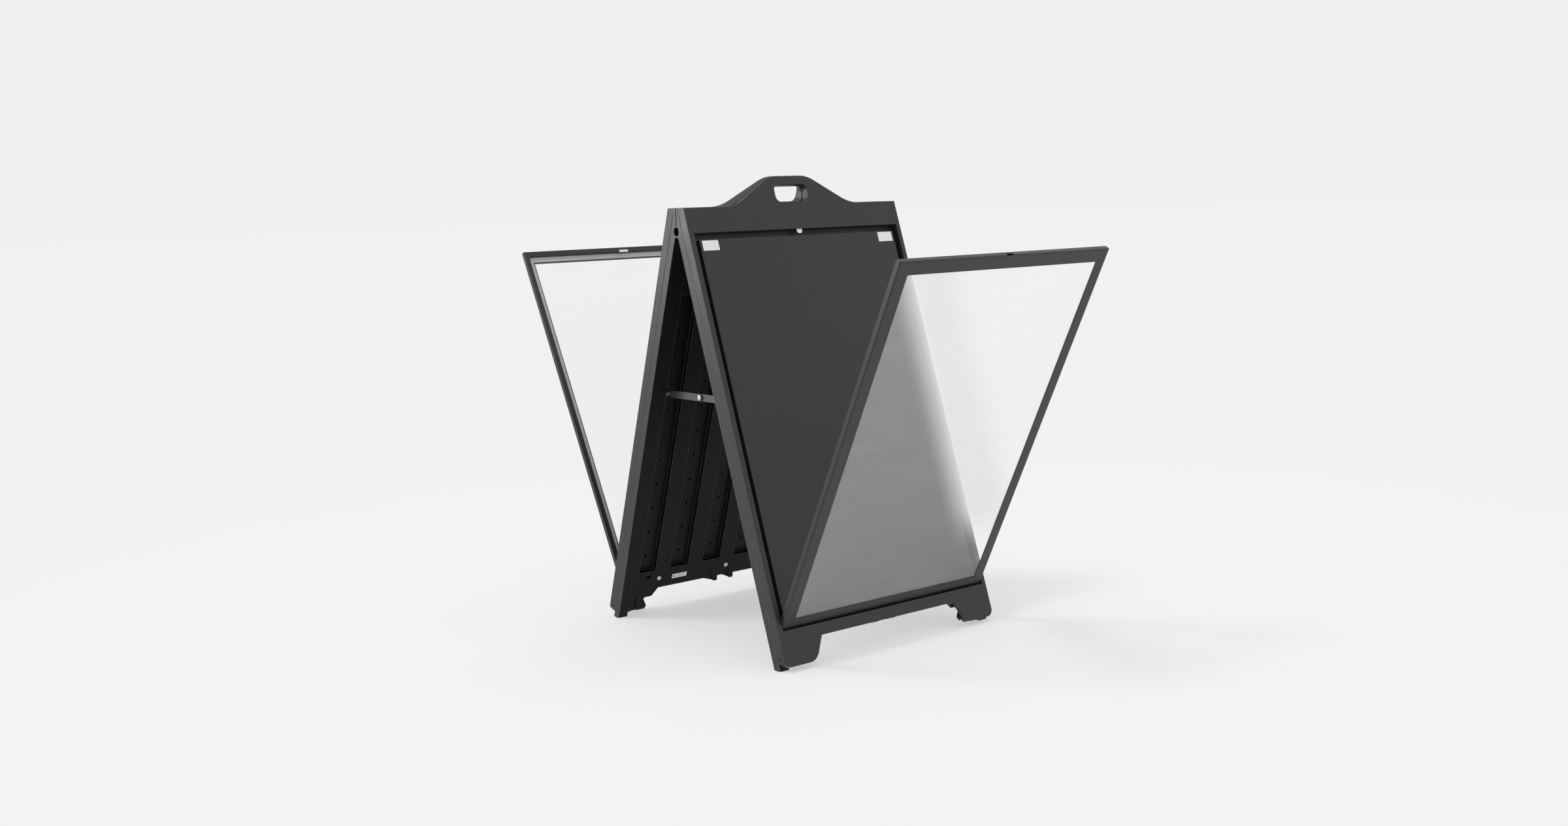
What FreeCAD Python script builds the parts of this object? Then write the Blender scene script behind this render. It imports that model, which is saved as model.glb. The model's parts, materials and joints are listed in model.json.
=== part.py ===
"""Parametric model of a folding pavement sign.

Two boards are hinged at the top, and each has a swing-open lens frame.

Every sub-part is a PartDesign body whose sizes are bound to the sheet "Sizes". Lengths are millimetres.

Board coordinates, used by every piece that is fixed to a board: u runs across the board, n outwards
from the hinge axis to the face, and s up along the board from the hinge axis. In a body, x = u, y = -n
and z = s. Lens coordinates are the same with their origin on the lens hinge axis.
"""

import FreeCAD, Part
import math
import os
import re

import Sketcher

Vector = FreeCAD.Vector

SIZES = {
    # board
    "board_width": 648.0,
    "open_half_angle": 18.0,
    "face_depth": 47.5,
    "back_depth": 2.0,
    "seam_depth": 22.0,
    "skin": 3.0,
    "shoulder_rise": 42.2,
    "crown_rise": 113.7,
    "crown_half_width": 57.9,
    "flank_half_width": 175.3,
    "crown_radius": 75.0,
    "flank_radius": 100.0,
    "shoulder_radius": 2.0,
    "rim_radius": 2.5,
    "bevel_gap": 1.5,
    "seam_relief": 0.9,
    "top_root": 3.0,
    # grip hole
    "grip_top": 91.5,
    "grip_bottom": 49.5,
    "grip_half": 50.0,
    "grip_radius": 14.0,
    # poster recess
    "recess_width": 622.0,
    "recess_height": 919.0,
    "recess_top": 18.5,
    "poster_step": 4.5,
    "groove_depth": 22.5,
    "groove_side": 14.0,
    "groove_top": 16.0,
    "groove_bottom": 20.0,
    # crossbar and feet
    "crossbar_height": 27.5,
    "crossbar_back_height": 17.5,
    "foot_height": 52.3,
    "crossbar_radius": 5.0,
    "foot_inner_half": 206.0,
    "foot_slant": 28.0,
    "foot_inner_radius": 33.0,
    "foot_outer_radius": 18.0,
    "foot_edge": 8.0,
    "foot_edge_depth": 7.5,
    "foot_floor_depth": 10.5,
    "sole_lift": 0.6,
    "face_lift": 5.0,
    "heel_radius": 4.0,
    "heel_half": 298.0,
    # hook behind each foot, measured across the board and down from the crossbar
    "hook_floor_drop": 46.0,
    "hook_toe_half": 242.0,
    "hook_tip_half": 237.0,
    "hook_tip_drop": 38.0,
    "hook_throat_half": 251.0,
    "hook_throat_drop": 13.0,
    "hook_ledge_half": 225.0,
    "hook_ledge_drop": 12.5,
    "hook_neck_half": 207.0,
    "hook_hole_radius": 2.2,
    "hook_hole_half": 256.5,
    "hook_hole_drop": 18.5,
    # raised arch on each foot, and the pocket behind it
    "arch_half": 275.0,
    "arch_radius": 10.0,
    "arch_drop": 17.0,
    "arch_length": 18.0,
    "arch_height": 0.6,
    "arch_depth": 5.0,
    "side_hole_radius": 2.5,
    "side_hole_depth": 30.0,
    "side_hole_rise": 4.0,
    # inner side
    "back_recess_half": 280.5,
    "back_recess_top": 46.0,
    "jog_rise": 11.5,
    "rib_step": 8.5,
    "channel_pitch": 101.0,
    "channel_width": 56.0,
    "channel_depth": 21.0,
    "channel_foot": 33.5,
    "channel_head": 160.0,
    "dimple_radius": 4.25,
    "dimple_tip_radius": 3.2,
    "dimple_wall": 2.0,
    "dimple_depth": 11.0,
    "dimple_pitch": 67.0,
    "dimple_start": 40.5,
    "slot_half": 242.0,
    "slot_width": 17.0,
    "slot_height": 10.0,
    "slot_rise": 17.5,
    # ramped lugs under the inner edge of the crossbar
    "lug_low": 1.5,
    "lug_root": 1.0,
    "lug_ramp": 24.0,
    "lug_reach": 6.0,
    "lug_one_start": 73.0,
    "lug_one_tip": 36.0,
    "lug_one_end": 24.0,
    "lug_two_start": 11.0,
    "lug_two_tip": -15.0,
    "lug_two_end": -27.0,
    # main hinge
    "knuckle_radius": 14.0,
    "knuckle_length": 24.0,
    "knuckle_gap": 0.5,
    "pin_radius": 6.0,
    "pin_head_radius": 8.0,
    "pin_head_height": 2.0,
    "pin_recess_radius": 10.5,
    "pin_recess_depth": 12.0,
    "pin_end_play": 1.0,
    "running_gap": 0.06,
    # stays
    "stay_drop": 410.0,
    "stay_inset": 8.0,
    "stay_boss": 15.0,
    "stay_boss_end": 12.0,
    "strap_half_width": 8.5,
    "strap_thickness": 2.5,
    "strap_plane": 272.25,
    "strap_gap": 0.5,
    "pivot_radius": 3.0,
    "pivot_head_radius": 6.0,
    "pivot_head_height": 2.5,
    "pivot_side_gap": 0.3,
    "rivet_head_height": 2.0,
    # lens frame
    "lens_gap": 0.8,
    "lens_open_angle": 44.6,
    "lens_axis_rise": 10.0,
    "lens_axis_depth": 6.0,
    "lens_sink": 0.5,
    "rail_face": 28.7,
    "rail_leg": 12.5,
    "rail_leg_depth": 13.5,
    "rail_wall": 1.3,
    "flange_thickness": 1.5,
    "rail_corner": 4.0,
    "sheet_thickness": 1.2,
    "strip_width": 14.0,
    "strip_thickness": 0.8,
    "key_arm": 32.0,
    "fit_gap": 0.2,
    # lens hinge
    "bracket_pitch": 211.0,
    "tab_half_width": 3.5,
    "tab_thickness": 10.0,
    "tab_gap": 1.5,
    "bracket_base": 2.0,
    "bracket_base_half": 12.0,
    "bracket_base_rise": 7.0,
    "lens_pin_radius": 1.5,
    "lens_pin_half": 20.0,
    "screw_radius": 2.2,
    "screw_head_radius": 5.0,
    "screw_head_height": 2.0,
    # catch
    "tongue_half_width": 8.0,
    "tongue_thickness": 3.0,
    "tongue_depth": 3.5,
    "tongue_reach": 11.0,
    "tongue_tail": 26.0,
    "slide_gap": 0.2,
    "housing_half_width": 15.0,
    "housing_depth": 9.0,
    "housing_height": 42.0,
    "spring_radius": 1.6,
    "spring_wire": 0.3,
    "spring_end_gap": 0.05,
    "spring_turns": 6.0,
    "strike_half_width": 14.0,
    "strike_height": 6.5,
    "strike_lap": 4.8,
    "strike_thickness": 1.2,
    # trim
    "pad_width": 46.0,
    "pad_height": 24.5,
    "pad_edge": 6.0,
    "pad_top_edge": 1.5,
    "pad_thickness": 0.3,
    "label_width": 45.0,
    "label_height": 12.0,
    "label_place": 124.0,
    "label_rise": 12.0,
    "label_thickness": 0.2,
}

# Places that several pieces share, each worked out from the sizes above.
PLACES = {
    "half_width": "board_width / 2",
    "recess_half": "recess_width / 2",
    "recess_bottom": "recess_top + recess_height",
    "crossbar_bottom": "recess_bottom + crossbar_height",
    "crossbar_back": "recess_bottom + crossbar_back_height",
    "board_drop": "crossbar_bottom + foot_height",
    "sole_bottom": "board_drop + (seam_depth - back_depth) * tan(open_half_angle) - sole_lift",
    "face_bottom": "sole_bottom - face_lift",
    "jog": "recess_bottom - jog_rise",
    "hinge_height": "board_drop * cos(open_half_angle) - back_depth * sin(open_half_angle)",
    "poster_depth": "face_depth - poster_step",
    "groove_floor": "face_depth - groove_depth",
    "poster_half": "recess_half - groove_side",
    "poster_top": "recess_top + groove_top",
    "poster_bottom": "recess_bottom - groove_bottom",
    "rib_depth": "back_depth + rib_step",
    "channel_floor": "back_depth + channel_depth",
    "channel_bottom": "recess_bottom - channel_foot",
    "lens_axis_s": "recess_bottom - lens_axis_rise",
    "lens_axis_n": "face_depth - lens_axis_depth",
    "lens_half": "recess_half - lens_gap",
    "lens_height": "recess_height - 2 * lens_gap",
    "lens_low": "lens_axis_rise - lens_gap",
    "lens_front": "lens_axis_depth - lens_sink",
    "leg_back": "rail_leg_depth - lens_front",
    "sheet_front": "lens_front - flange_thickness",
    "sheet_back": "sheet_front - sheet_thickness",
    "stay_y": "stay_drop * sin(open_half_angle) + stay_inset * cos(open_half_angle)",
    "stay_z": "hinge_height - stay_drop * cos(open_half_angle) + stay_inset * sin(open_half_angle)",
    "spring_foot": "tongue_tail - 2 * skin",
    "tongue_n": "face_depth - skin - tongue_depth / 2 - 0.25",
}

# How far a cutting outline or tool runs past what it cuts: well past, or just past.
CLEAR = "10"
OVER = "1"
STEPS = (-1, 0, 1)
SIGNS = (-1, 1)
WORD = re.compile(r"[a-z_]+[a-z]\b(?!\()")

doc = FreeCAD.newDocument("pavement_sign")
sheet = doc.addObject("Spreadsheet::Sheet", "Sizes")
for row, (alias, size) in enumerate(SIZES.items(), start=1):
    sheet.set(f"A{row}", alias)
    sheet.set(f"B{row}", str(size))
    sheet.setAlias(f"B{row}", alias)
doc.recompute()


def bound(text):
    """Spells an expression out in the sheet's aliases, following the shared places."""

    def spell(match):
        word = match.group(0)
        if word in PLACES:
            return f"({bound(PLACES[word])})"
        return f"Sizes.{word}" if word in SIZES else word

    return WORD.sub(spell, str(text))


def value(text):
    """The number that an expression stands for."""
    result = sheet.evalExpression(bound(text))
    return float(getattr(result, "Value", result))


class Piece:
    """One sub-part: a PartDesign body that blocks, rods and outlines are added to or cut from."""

    def __init__(self, label, placement):
        self.body = doc.addObject("PartDesign::Body", label)
        self.body.Label = label
        self.body.AllowCompound = True
        self.placement = placement
        self.volume = 0.0
        PIECES.append(self)

    def settle(self, feature, cut):
        """Recomputes, and stops if the feature failed or did not change the volume its own way."""
        doc.recompute()
        if "Invalid" in feature.State or "Error" in feature.State or feature.Shape.isNull():
            raise RuntimeError(f"{self.body.Label}: {feature.Name} failed")
        volume = feature.Shape.Volume
        if (volume >= self.volume) if cut else (volume <= self.volume):
            raise RuntimeError(f"{self.body.Label}: {feature.Name} changed nothing")
        self.volume = volume
        return feature

    def place(self, feature, corner, turn=None):
        """Binds a primitive's place, given as expressions for x, y and z."""
        if turn:
            feature.Placement = FreeCAD.Placement(Vector(), FreeCAD.Rotation(*turn))
        for axis, text in zip("xyz", corner):
            feature.setExpression(f"Placement.Base.{axis}", bound(text))

    def block(self, u, n, s, cut=False):
        """Adds or cuts a block between pairs of expressions for u, n and s, low value first."""
        kind = "Subtractive" if cut else "Additive"
        feature = self.body.newObject(f"PartDesign::{kind}Box", "Block")
        for name, (low, high) in zip(("Length", "Width", "Height"), (u, n, s)):
            feature.setExpression(name, bound(f"({high}) - ({low})"))
        self.place(feature, (u[0], f"-({n[1]})", s[0]))
        return self.settle(feature, cut)

    def rod(self, axis, centre, radius, start, end, cut=False, tip=None):
        """Adds or cuts a round rod along u, n or s.

        centre gives the other two coordinates in the order u, n, s. With a tip radius the rod is a cone
        that ends at that radius.
        """
        kind = "Subtractive" if cut else "Additive"
        feature = self.body.newObject(f"PartDesign::{kind}{'Cone' if tip else 'Cylinder'}", "Rod")
        if tip:
            feature.setExpression("Radius1", bound(radius))
            feature.setExpression("Radius2", bound(tip))
        else:
            feature.setExpression("Radius", bound(radius))
        feature.setExpression("Height", bound(f"({end}) - ({start})"))
        first, second = centre
        if axis == "u":
            self.place(feature, (start, f"-({first})", second), (Vector(0, 1, 0), 90))
        elif axis == "n":
            self.place(feature, (first, f"-({start})", second), (Vector(1, 0, 0), 90))
        else:
            self.place(feature, (first, f"-({second})", start))
        return self.settle(feature, cut)

    def prism(self, plane, points, start, end, cut=False, corners=None):
        """Adds or cuts an outline carried from start to end.

        plane "XZ" takes points (u, s) carried along n; "YZ" takes points (n, s) carried along u. corners
        gives a radius for chosen points, by their place in the list.
        """
        if plane == "YZ":
            points = [(f"-({n})", s) for n, s in points]
        sketch = self.body.newObject("Sketcher::SketchObject", "Outline")
        origin = next(o for o in self.body.Origin.OriginFeatures if o.Role == f"{plane}_Plane")
        sketch.AttachmentSupport = [(origin, "")]
        sketch.MapMode = "FlatFace"
        sketch.setExpression("AttachmentOffset.Base.z", bound(start))
        spots = [Vector(value(x), value(y), 0) for x, y in points]
        count = len(spots)
        for i in range(count):
            sketch.addGeometry(Part.LineSegment(spots[i], spots[(i + 1) % count]), False)
        for i in range(count):
            sketch.addConstraint(Sketcher.Constraint("Coincident", i, 2, (i + 1) % count, 1))
        for i, pair in enumerate(points):
            numbers = (spots[i].x, spots[i].y)
            for kind, text, number in zip(("DistanceX", "DistanceY"), pair, numbers):
                index = sketch.addConstraint(Sketcher.Constraint(kind, -1, 1, i, 1, number))
                sketch.setExpression(f"Constraints[{index}]", bound(text))
        feature = self.body.newObject("PartDesign::Pocket" if cut else "PartDesign::Pad", "Prism")
        feature.Profile = sketch
        feature.setExpression("Length", bound(f"({end}) - ({start})"))
        feature.Reversed = cut
        self.settle(feature, cut)
        for index, radius in (corners or {}).items():
            x, y = spots[index].x, spots[index].y
            self.fillet(radius, lambda edge: self.along(edge, plane, x, y))
        return feature

    @staticmethod
    def along(edge, plane, x, y):
        """True for a straight edge square to the plane that passes through the point (x, y) of it."""
        ends = [v.Point for v in edge.Vertexes]
        if plane == "XZ":
            flat = [(p.x, p.z) for p in ends]
        else:
            flat = [(p.y, p.z) for p in ends]
        return len(ends) == 2 and all(math.hypot(a - x, b - y) < 1e-3 for a, b in flat)

    def fillet(self, radius, chosen, kind="Fillet"):
        """Rounds or chamfers every edge that the test picks on the body's present tip."""
        base = self.body.Tip
        names = [f"Edge{i}" for i, edge in enumerate(base.Shape.Edges, start=1) if chosen(edge)]
        if not names:
            raise RuntimeError(f"{self.body.Label}: no edge to round")
        feature = self.body.newObject(f"PartDesign::{kind}", "Round")
        feature.Base = (base, names)
        feature.setExpression("Radius" if kind == "Fillet" else "Size", bound(radius))
        doc.recompute()
        if "Invalid" in feature.State or "Error" in feature.State or not feature.Shape.isValid():
            raise RuntimeError(f"{self.body.Label}: a fillet failed")
        self.volume = feature.Shape.Volume
        return feature

    def array(self, feature, rows, columns):
        """Repeats a feature: rows and columns are (axis, count, expression for the pitch)."""
        pattern = self.body.newObject("PartDesign::MultiTransform", "Array")
        steps = []
        for axis, count, pitch in (rows, columns):
            step = self.body.newObject("PartDesign::LinearPattern", "Step")
            line = next(o for o in self.body.Origin.OriginFeatures if o.Role == f"{axis}_Axis")
            step.Direction = (line, [""])
            step.Occurrences = count
            step.setExpression("Length", bound(f"{count - 1} * {pitch}"))
            steps.append(step)
        pattern.Originals = [feature]
        pattern.Transformations = steps
        self.body.Tip = pattern
        return self.settle(pattern, "Subtractive" in feature.TypeId)


PIECES = []


def turned(axis, angle):
    return FreeCAD.Placement(Vector(), FreeCAD.Rotation(axis, angle))


def moved(x, y, z):
    return FreeCAD.Placement(Vector(x, y, z), FreeCAD.Rotation())


HALF_TURN = turned(Vector(0, 0, 1), 180)
SIDES = {"front": FreeCAD.Placement(), "rear": HALF_TURN}


def board_place(side):
    """From board coordinates to the sign's own: leant back about the hinge axis."""
    lean = moved(0, 0, value("hinge_height")) * turned(Vector(1, 0, 0), -value("open_half_angle"))
    return SIDES[side] * lean


def lens_place(side):
    """From lens coordinates to the sign's own, with the frame swung open."""
    axis = moved(0, -value("lens_axis_n"), -value("lens_axis_s"))
    return board_place(side) * axis * turned(Vector(1, 0, 0), value("lens_open_angle"))


# ---------------------------------------------------------------- boards

def ground(depth):
    """The s value at which the ground meets the board at this depth, while the sign stands open."""
    return f"-(hinge_height + ({depth}) * sin(open_half_angle)) / cos(open_half_angle)"


def mirrored(points):
    """A closed outline from its right half, listed from the top centre down to the bottom centre."""
    return points + [(f"-({u})", s) for u, s in reversed(points)]


TOP_HALF = [
    ("crown_half_width", "crown_rise"),
    ("flank_half_width", "shoulder_rise"),
    ("half_width", "shoulder_rise"),
]
TOP_RADII = {0: "crown_radius", 1: "flank_radius", 2: "shoulder_radius"}

GRIP = [
    ("grip_half", "grip_top"),
    ("grip_half", "grip_bottom"),
    ("-grip_half", "grip_bottom"),
    ("-grip_half", "grip_top"),
]


def outline(piece, half, radii, start, end):
    """The board's outline from its right half, with the grip hole and half of the groove at the seam."""
    points = mirrored(half)
    corners = radii | {len(points) - 1 - i: radius for i, radius in radii.items()}
    piece.prism("XZ", points, start, end, corners=corners)
    piece.prism("XZ", GRIP, start, end, cut=True, corners=dict.fromkeys(range(len(GRIP)), "grip_radius"))
    piece.fillet("seam_relief", in_plane("seam_depth"), kind="Chamfer")


def level_top(piece, low, high):
    """Raises the shoulders between two depths, so that their tops are level while the sign stands open."""
    rise = "shoulder_rise + (face_depth - rim_radius - ({n})) * tan(open_half_angle)"
    root = "shoulder_rise - top_root"
    wedge = [(low, root), (high, root), (high, rise.format(n=high)), (low, rise.format(n=low))]
    slope = "((crown_rise - shoulder_rise) / (flank_half_width - crown_half_width))"
    lap = f"((face_depth - back_depth) * tan(open_half_angle) / {slope})"
    for sign in SIGNS:
        piece.prism("YZ", wedge, *span(sign, f"(flank_half_width - {lap})", "half_width"))


def trim_to_meet(piece):
    """Cuts the bevel on which the open boards meet above the hinge."""
    reach = f"(half_width + {CLEAR})"
    low, high = f"(back_depth - {CLEAR})", f"(face_depth + {CLEAR})"
    meet = "((({n}) * cos(open_half_angle) - bevel_gap) / sin(open_half_angle))"
    bevel = [(low, meet.format(n=low)), (high, meet.format(n=high)), (low, meet.format(n=high))]
    piece.prism("YZ", bevel, f"-{reach}", reach, cut=True)


def trim_to_ground(piece):
    """Cuts the soles flat on the ground."""
    reach = f"(half_width + {CLEAR})"
    low, high = f"(back_depth - {CLEAR})", f"(face_depth + {CLEAR})"
    sole = [(low, ground(low)), (high, ground(high)), (low, ground(high))]
    piece.prism("YZ", sole, f"-{reach}", reach, cut=True)


def span(sign, near, far):
    """A range across the board on one side of its middle, low value first."""
    return (f"{sign} * {near}", f"{sign} * {far}") if sign > 0 else (f"{sign} * {far}", f"{sign} * {near}")


def in_plane(depth):
    """A test for edges that lie in the plane at this depth of the board."""
    level = -value(depth)
    return lambda edge: all(abs(v.Y - level) < 1e-4 for v in edge.Vertexes)


def face_shell(side):
    """Outer half of the board: the face, its recess with the poster floor and the groove around it."""
    piece = Piece(f"{side}_face_shell", board_place(side))
    half = TOP_HALF + [
        ("half_width", "-face_bottom"),
        ("foot_inner_half + foot_slant", "-face_bottom"),
        ("foot_inner_half", "-crossbar_bottom"),
    ]
    radii = TOP_RADII | {3: "foot_outer_radius", 4: "foot_inner_radius", 5: "crossbar_radius"}
    outline(piece, half, radii, "seam_depth", "face_depth")
    piece.fillet("rim_radius", in_plane("face_depth"))
    level_top(piece, "seam_depth", "face_depth - rim_radius")
    inside = "(half_width - skin)"
    depth = ("seam_depth", "face_depth - skin")
    inside_run = ("-(crossbar_bottom - skin)", "shoulder_rise - skin")
    piece.block((f"-{inside}", inside), depth, inside_run, cut=True)
    foot(piece, inside)
    wall = "(recess_half + skin)"
    dish_run = ("-(recess_bottom + skin)", "-(recess_top - skin)")
    piece.block((f"-{wall}", wall), ("seam_depth", "face_depth - skin / 2"), dish_run)
    recess = ("-recess_bottom", "-recess_top")
    piece.block(("-recess_half", "recess_half"), ("groove_floor", f"face_depth + {OVER}"), recess, cut=True)
    poster_run = ("-poster_bottom", "-poster_top")
    piece.block(("-poster_half", "poster_half"), ("seam_depth", "poster_depth"), poster_run)
    under = "(poster_half - skin)"
    under_run = ("-(poster_bottom - skin)", "-(poster_top + skin)")
    piece.block((f"-{under}", under), (f"seam_depth - {OVER}", "poster_depth - skin"), under_run, cut=True)
    slot = "(tongue_half_width + slide_gap)"
    slot_run = (f"-(recess_top + {OVER})", f"-(recess_top - skin - {OVER})")
    piece.block((f"-{slot}", slot), TONGUE_ROOM, slot_run, cut=True)
    for step in STEPS:
        centre = (f"{step} * bracket_pitch", "-lens_axis_s")
        piece.rod("n", centre, "screw_radius", f"seam_depth - {OVER}", f"groove_floor + {OVER}", cut=True)
    trim_to_meet(piece)


def foot(piece, inside):
    """The face shell's feet: hollow behind, thin along the inner edge, with an arch and a side hole."""
    edge = "(foot_inner_half + foot_slant + foot_edge)"
    hollow_depth = ("seam_depth", "face_depth - foot_floor_depth")
    hollow_run = ("-(face_bottom - foot_outer_radius)", "-(crossbar_bottom - skin)")
    edge_depth = (f"seam_depth - {OVER}", "face_depth - foot_edge_depth")
    edge_run = (f"-(face_bottom + {CLEAR})", "-(crossbar_bottom + skin)")
    arch_depth = (f"face_depth - {OVER}", "face_depth + arch_height")
    arch_run = ("-(crossbar_bottom + arch_drop + arch_length)", "-(crossbar_bottom + arch_drop)")
    arch = ("(arch_half - arch_radius)", "(arch_half + arch_radius)")
    hole = ("side_hole_depth", "-(face_bottom - foot_outer_radius - side_hole_rise)")
    for sign in SIGNS:
        piece.block(span(sign, f"({edge} + skin)", inside), hollow_depth, hollow_run, cut=True)
        piece.block(span(sign, f"(foot_inner_half - {CLEAR})", edge), edge_depth, edge_run, cut=True)
        piece.block(span(sign, *arch), arch_depth, arch_run)
        piece.rod("n", (f"{sign} * arch_half", arch_run[1]), "arch_radius", *arch_depth)
        ends = span(sign, f"({inside} - {OVER})", f"(half_width + {OVER})")
        piece.rod("u", hole, "side_hole_radius", *ends, cut=True)


def back_shell(side):
    """Inner half of the board: borders, six stiffening channels, hooked feet, hinge knuckles and bosses."""
    piece = Piece(f"{side}_back_shell", board_place(side))
    half = TOP_HALF + [
        ("half_width", "-sole_bottom"),
        ("heel_half", "-sole_bottom"),
        ("heel_half", "-(crossbar_bottom + hook_floor_drop)"),
        ("hook_toe_half", "-(crossbar_bottom + hook_floor_drop)"),
        ("hook_tip_half", "-(crossbar_bottom + hook_tip_drop)"),
        ("hook_throat_half", "-(crossbar_bottom + hook_throat_drop)"),
        ("hook_ledge_half", "-(crossbar_bottom + hook_ledge_drop)"),
        ("hook_neck_half", "-crossbar_back"),
    ]
    outline(piece, half, TOP_RADII | {3: "heel_radius"}, "back_depth", "seam_depth")
    level_top(piece, "back_depth", "seam_depth")
    open_depth = (f"back_depth - {OVER}", "rib_depth")
    under = f"-(sole_bottom + {CLEAR})"
    for half, top in (("back_recess_half", "-back_recess_top"), ("heel_half", "-jog")):
        piece.block((f"-{half}", half), open_depth, (under, top), cut=True)
    trim_to_meet(piece)
    trim_to_ground(piece)
    inside = "(half_width - skin)"
    border = "(back_recess_half + skin)"
    depth = ("back_depth + skin", "seam_depth")
    for sign in SIGNS:
        piece.block(span(sign, border, inside), depth, ("-(jog - skin)", "-(recess_top - skin)"), cut=True)
        low_run = ("-(sole_bottom - foot_outer_radius)", f"-(jog - skin - {OVER})")
        piece.block(span(sign, "(heel_half + skin)", inside), depth, low_run, cut=True)
    piece.block((f"-{border}", border), ("rib_depth + skin", "seam_depth"),
                ("-(crossbar_back - skin)", "-(back_recess_top - skin)"), cut=True)
    head_run = ("-(back_recess_top - skin)", "-(recess_top - skin)")
    piece.block((f"-{border}", border), depth, head_run, cut=True)
    channels(piece)
    knuckles(piece)
    skin_depth = (f"rib_depth - {OVER}", f"rib_depth + skin + {OVER}")
    for step in STEPS:
        centre = (f"{step} * bracket_pitch", "-lens_axis_s")
        piece.rod("n", centre, "screw_radius", *skin_depth, cut=True)
    for sign in SIGNS:
        boss = span(sign, "back_recess_half", "(back_recess_half + stay_boss)")
        boss_run = ("-(stay_drop + stay_boss)", "-(stay_drop - stay_boss)")
        piece.block(boss, ("back_depth + skin / 2", "seam_depth"), boss_run)
        bore = span(sign, f"(back_recess_half - {OVER})", f"(back_recess_half + stay_boss + {OVER})")
        piece.rod("u", ("stay_inset", "-stay_drop"), "pivot_radius", *bore, cut=True)
        slot = span(sign, "(slot_half - slot_width / 2)", "(slot_half + slot_width / 2)")
        slot_low = "(recess_bottom - slot_rise + slot_height / 2)"
        slot_run = (f"-{slot_low}", f"-({slot_low} - slot_height)")
        piece.block(slot, skin_depth, slot_run, cut=True)
        hole = (f"{sign} * hook_hole_half", "-(crossbar_bottom + hook_hole_drop)")
        piece.rod("n", hole, "hook_hole_radius", f"rib_depth - {OVER}", f"seam_depth + {OVER}", cut=True)
        arch_depth = (f"rib_depth - {OVER}", "rib_depth + arch_depth")
        arch = span(sign, "(arch_half - arch_radius)", "(arch_half + arch_radius)")
        piece.block(arch, arch_depth, (under, "-(crossbar_bottom + arch_drop)"), cut=True)
        centre = (f"{sign} * arch_half", "-(crossbar_bottom + arch_drop)")
        piece.rod("n", centre, "arch_radius", *arch_depth, cut=True)
    lugs(piece)


CHANNELS = [f"{step} * channel_pitch" for step in (-2.5, -1.5, -0.5, 0.5, 1.5, 2.5)]


def channels(piece):
    """The channels pressed outwards from the inner face, each with a row of cups in its floor."""
    outer_depth = ("rib_depth + skin / 2", "channel_floor + skin")
    outer_run = ("-(channel_bottom + skin)", "-(channel_head - skin)")
    outer = "(channel_width / 2 + skin)"
    inner_depth = (f"rib_depth - {OVER}", "channel_floor")
    inner_run = ("-channel_bottom", "-channel_head")
    for centre in CHANNELS:
        piece.block((f"{centre} - {outer}", f"{centre} + {outer}"), outer_depth, outer_run)
    for centre in CHANNELS:
        across = (f"{centre} - channel_width / 2", f"{centre} + channel_width / 2")
        piece.block(across, inner_depth, inner_run, cut=True)
    rows = int(value("(channel_bottom - channel_head - dimple_start) / dimple_pitch")) + 1
    grid = (("Z", rows, "dimple_pitch"), ("X", len(CHANNELS), "channel_pitch"))
    first = (CHANNELS[0], "-(channel_bottom - dimple_start)")
    cup_end = "channel_floor + dimple_depth"
    cup = piece.rod("n", first, "dimple_radius + dimple_wall", "channel_floor", f"{cup_end} + dimple_wall")
    piece.array(cup, *grid)
    bore = piece.rod("n", first, "dimple_radius", f"channel_floor - {OVER}", cup_end, cut=True,
                     tip="dimple_tip_radius")
    piece.array(bore, *grid)


def knuckles(piece):
    """The outer knuckle at -u, the inner knuckle at +u, and room for the other board's two."""
    inner = "(half_width - knuckle_length - knuckle_gap)"
    outer = "(half_width - knuckle_length)"
    last = f"({inner} - knuckle_length)"
    room = "knuckle_radius + knuckle_gap"
    on_axis = ("0", "0")
    piece.rod("u", on_axis, room, f"-{outer}", f"-{last} + knuckle_gap + pin_end_play", cut=True)
    piece.rod("u", on_axis, room, inner, "half_width + 1", cut=True)
    piece.rod("u", on_axis, "knuckle_radius", "-half_width", f"-{outer}")
    piece.rod("u", on_axis, "knuckle_radius", last, inner)
    snug = "pin_radius + running_gap"
    piece.rod("u", on_axis, snug, f"-half_width - {OVER}", f"-{outer} + {OVER}", cut=True)
    recess_floor = "-half_width + pin_recess_depth"
    piece.rod("u", on_axis, "pin_recess_radius", f"-half_width - {OVER}", recess_floor, cut=True)
    piece.rod("u", on_axis, snug, f"{last} - {OVER}", f"{inner} + {OVER}", cut=True)


def lugs(piece):
    """Two ramped lugs that stand out under the crossbar's inner edge."""
    low = "-(crossbar_bottom + lug_low)"
    top = "-(crossbar_back - lug_root)"
    ramp = [
        ("rib_depth", "-(crossbar_back - lug_ramp)"),
        ("rib_depth - lug_reach", low),
        ("rib_depth", low),
    ]
    first = ("lug_one_start", "lug_one_tip", "lug_one_end")
    second = ("lug_two_start", "lug_two_tip", "lug_two_end")
    for start, tip, end in (first, second):
        piece.prism("XZ", [(start, top), (tip, low), (end, low), (end, top)], "rib_depth", "seam_depth")
        piece.prism("YZ", ramp, end, tip)


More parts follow.
